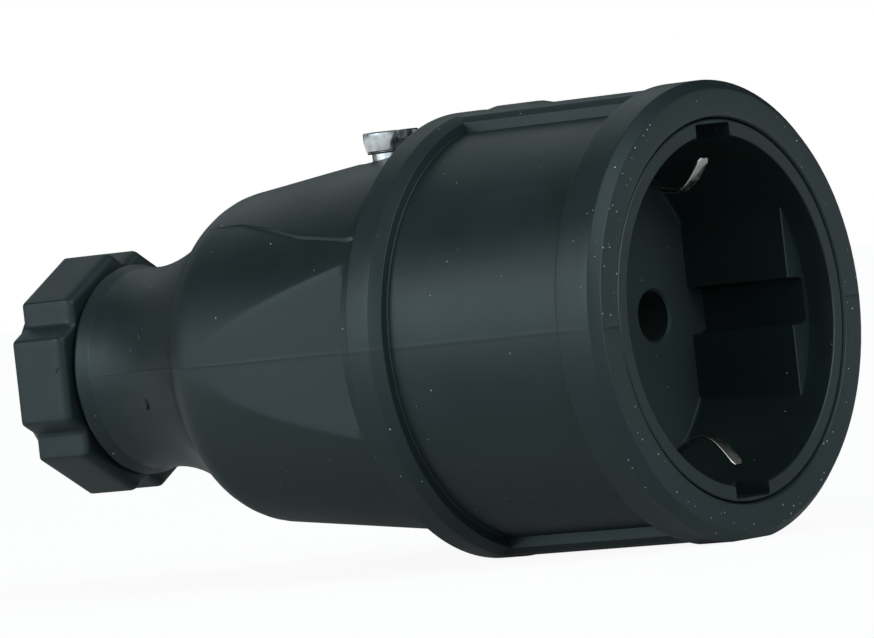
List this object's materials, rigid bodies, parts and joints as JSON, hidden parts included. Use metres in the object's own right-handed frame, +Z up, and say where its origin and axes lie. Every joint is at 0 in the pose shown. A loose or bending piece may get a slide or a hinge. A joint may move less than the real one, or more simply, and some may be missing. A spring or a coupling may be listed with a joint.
{
  "type": "industrial cable coupler",
  "caption": "Rubber-bodied two-pole and earth cable coupler: round recessed socket with spring earth contacts, tapered hood, notched gland nut for the cord and a part-unscrewed cover screw",
  "frame": {"origin": "centre of the contact face at the bottom of the socket recess, halfway between the two pin holes", "axes": "+X out of the socket along the coupler's axis; +Z up, through the housing screw; the pin holes lie along Y"},
  "size_m": [0.0987, 0.0522, 0.052],
  "materials": {
    "moulded_rubber": "matt moulded, dark blue-grey",
    "nut_rubber": "matt moulded hard rubber",
    "grommet_rubber": "matt soft rubber",
    "hard_plastic": "moulded thermoset",
    "carrier_plastic": "moulded polyamide",
    "washer_plastic": "smooth",
    "washer_fibre": "dark pressed fibre",
    "zinc_plate": "bright zinc plate",
    "nickel_plate": "nickel plate",
    "contact_brass": "plain brass",
    "spring_steel": "plain spring steel"
  },
  "bodies": {
    "housing": {"housing": "moulded_rubber", "sealing_grommet": "grommet_rubber", "socket_insert": "hard_plastic", "contact_carrier": "carrier_plastic", "cord_clamp": "carrier_plastic", "cord_clamp_screw_left": "zinc_plate", "cord_clamp_screw_right": "zinc_plate", "live_contact": "contact_brass", "neutral_contact": "contact_brass", "live_ring_spring": "spring_steel", "neutral_ring_spring": "spring_steel", "live_terminal_screw": "zinc_plate", "neutral_terminal_screw": "zinc_plate", "earth_strap": "nickel_plate", "upper_earth_rivet": "nickel_plate", "lower_earth_rivet": "nickel_plate", "earth_clamp_plate": "nickel_plate", "earth_terminal_screw": "zinc_plate", "carrier_screw_left": "zinc_plate", "carrier_screw_right": "zinc_plate", "square_nut": "zinc_plate"},
    "thrust_washer": {"thrust_washer": "washer_plastic"},
    "gland_nut": {"gland_nut": "nut_rubber"},
    "screw_washer": {"screw_washer": "washer_fibre"},
    "housing_screw": {"housing_screw": "zinc_plate"},
    "upper_earth_spring": {"upper_earth_spring": "nickel_plate"},
    "lower_earth_spring": {"lower_earth_spring": "nickel_plate"}
  },
  "joints": [
    {"name": "gland_travel", "type": "slide", "parent": "housing", "child": "thrust_washer", "axis": [-1, 0, 0], "range_m": [0, 0.006]},
    {"name": "gland_turn", "type": "hinge", "parent": "thrust_washer", "child": "gland_nut", "pos_m": [-0.07835, 0, 0], "axis": [-1, 0, 0], "range_deg": [0, 1080]},
    {"name": "screw_travel", "type": "slide", "parent": "housing", "child": "screw_washer", "axis": [0, 0, 1], "range_m": [-0.0008, 0.0028]},
    {"name": "screw_turn", "type": "hinge", "parent": "screw_washer", "child": "housing_screw", "pos_m": [-0.0279, 0, 0.023], "axis": [0, 0, 1], "range_deg": [-360, 1260]},
    {"name": "upper_earth_spring_flex", "type": "hinge", "parent": "housing", "child": "upper_earth_spring", "pos_m": [0.0008, 0, 0.0174], "axis": [0, -1, 0], "range_deg": [0, 6], "stiffness_Nm_per_rad": 0.1},
    {"name": "lower_earth_spring_flex", "type": "hinge", "parent": "housing", "child": "lower_earth_spring", "pos_m": [0.0008, 0, -0.0174], "axis": [0, 1, 0], "range_deg": [0, 6], "stiffness_Nm_per_rad": 0.1}
  ],
  "couplings": [
    {"joint": "gland_turn", "follows": "gland_travel", "rad_per_m": 3141.6},
    {"joint": "screw_turn", "follows": "screw_travel", "rad_per_m": 7854}
  ]
}
